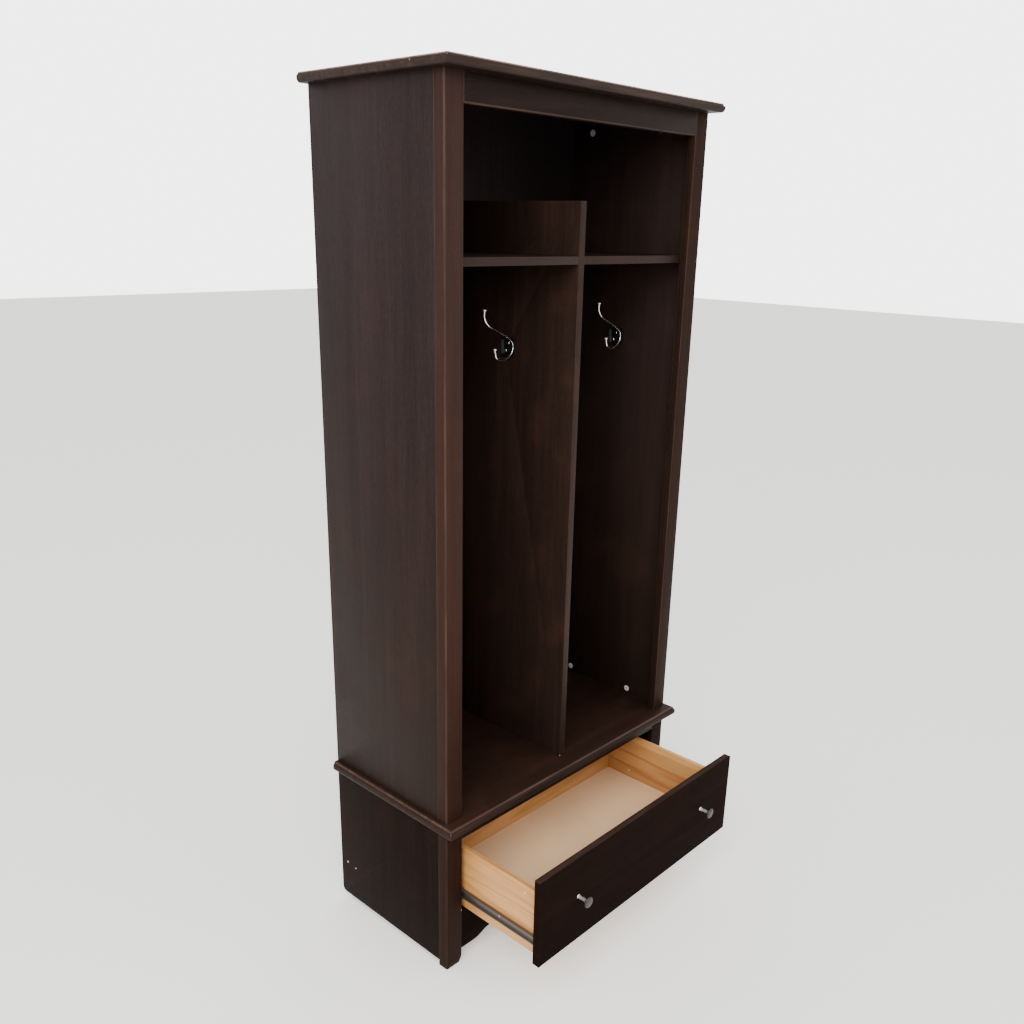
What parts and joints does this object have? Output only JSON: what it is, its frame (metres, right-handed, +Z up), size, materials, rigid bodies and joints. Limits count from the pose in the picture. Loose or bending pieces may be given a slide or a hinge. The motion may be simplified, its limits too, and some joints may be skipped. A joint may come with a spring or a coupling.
{
  "type": "hall tree with hooks",
  "caption": "Tall open coat locker with hooks, shelf and divider, standing on a base with one wide pull-out drawer.",
  "frame": {"origin": "middle of the whole model's box in plan, with the drawer open as at rest, at floor level", "axes": "+Z up; the front, with the open drawer, faces -Y; +X runs to the right as seen from the front"},
  "size_m": [0.853, 0.6744, 1.9082],
  "materials": {
    "espresso_wood": "espresso stain under satin lacquer, faint grain, worn arrises",
    "birch_wood": "clear satin lacquer on pale straight-grained boards",
    "drawer_hardboard": "smooth printed pale face, semi-matt",
    "brushed_nickel": "satin nickel plate",
    "chrome_wire": "polished chrome plate",
    "slide_steel": "zinc-plated rolled steel, dulled",
    "cover_grey": "moulded pale grey, satin",
    "glide_beige": "moulded beige, matt"
  },
  "bodies": {
    "case": {"cap_top": "espresso_wood", "upper_side_panel_left": "espresso_wood", "upper_side_panel_right": "espresso_wood", "upper_post_left": "espresso_wood", "upper_post_right": "espresso_wood", "top_front_rail": "espresso_wood", "upper_back_panel": "espresso_wood", "divider_panel": "espresso_wood", "shelf": "espresso_wood", "base_slab": "espresso_wood", "base_post_left": "espresso_wood", "base_post_right": "espresso_wood", "base_side_panel_left": "espresso_wood", "base_side_panel_right": "espresso_wood", "rear_leg_left": "espresso_wood", "rear_leg_right": "espresso_wood", "base_top_rail": "espresso_wood", "apron_rail": "espresso_wood", "base_back_panel": "espresso_wood", "slide_packer_left": "birch_wood", "slide_packer_right": "birch_wood", "hook_left": "chrome_wire", "hook_right": "chrome_wire", "hook_left_screw_1": "chrome_wire", "hook_left_screw_2": "chrome_wire", "hook_right_screw_1": "chrome_wire", "hook_right_screw_2": "chrome_wire", "slide_cabinet_member_left": "slide_steel", "slide_cabinet_member_right": "slide_steel", "screw_cover_1_left": "cover_grey", "screw_cover_1_right": "cover_grey", "screw_cover_2_left": "cover_grey", "screw_cover_2_right": "cover_grey", "screw_cover_3_left": "cover_grey", "screw_cover_3_right": "cover_grey", "screw_cover_4_left": "cover_grey", "screw_cover_4_right": "cover_grey", "foot_glide_front_left": "glide_beige", "foot_glide_front_right": "glide_beige", "foot_glide_rear_left": "glide_beige", "foot_glide_rear_right": "glide_beige"},
    "drawer": {"drawer_front": "espresso_wood", "drawer_box_front": "birch_wood", "drawer_box_back": "birch_wood", "drawer_side_left": "birch_wood", "drawer_side_right": "birch_wood", "drawer_bottom": "drawer_hardboard", "knob_left": "brushed_nickel", "knob_right": "brushed_nickel", "knob_screw_left": "slide_steel", "knob_screw_right": "slide_steel", "slide_drawer_member_left": "slide_steel", "slide_drawer_member_right": "slide_steel"},
    "cage_left": {"slide_ball_cage_left": "slide_steel"},
    "cage_right": {"slide_ball_cage_right": "slide_steel"}
  },
  "joints": [
    {"name": "drawer_slide", "type": "slide", "parent": "case", "child": "drawer", "axis": [0, -1, 0], "range_m": [-0.2243, 0.0385]},
    {"name": "cage_left_slide", "type": "slide", "parent": "case", "child": "cage_left", "axis": [0, -1, 0], "range_m": [-0.11215, 0.01925]},
    {"name": "cage_right_slide", "type": "slide", "parent": "case", "child": "cage_right", "axis": [0, -1, 0], "range_m": [-0.11215, 0.01925]}
  ],
  "couplings": [
    {"joint": "cage_left_slide", "follows": "drawer_slide", "ratio": 0.5},
    {"joint": "cage_right_slide", "follows": "drawer_slide", "ratio": 0.5}
  ]
}
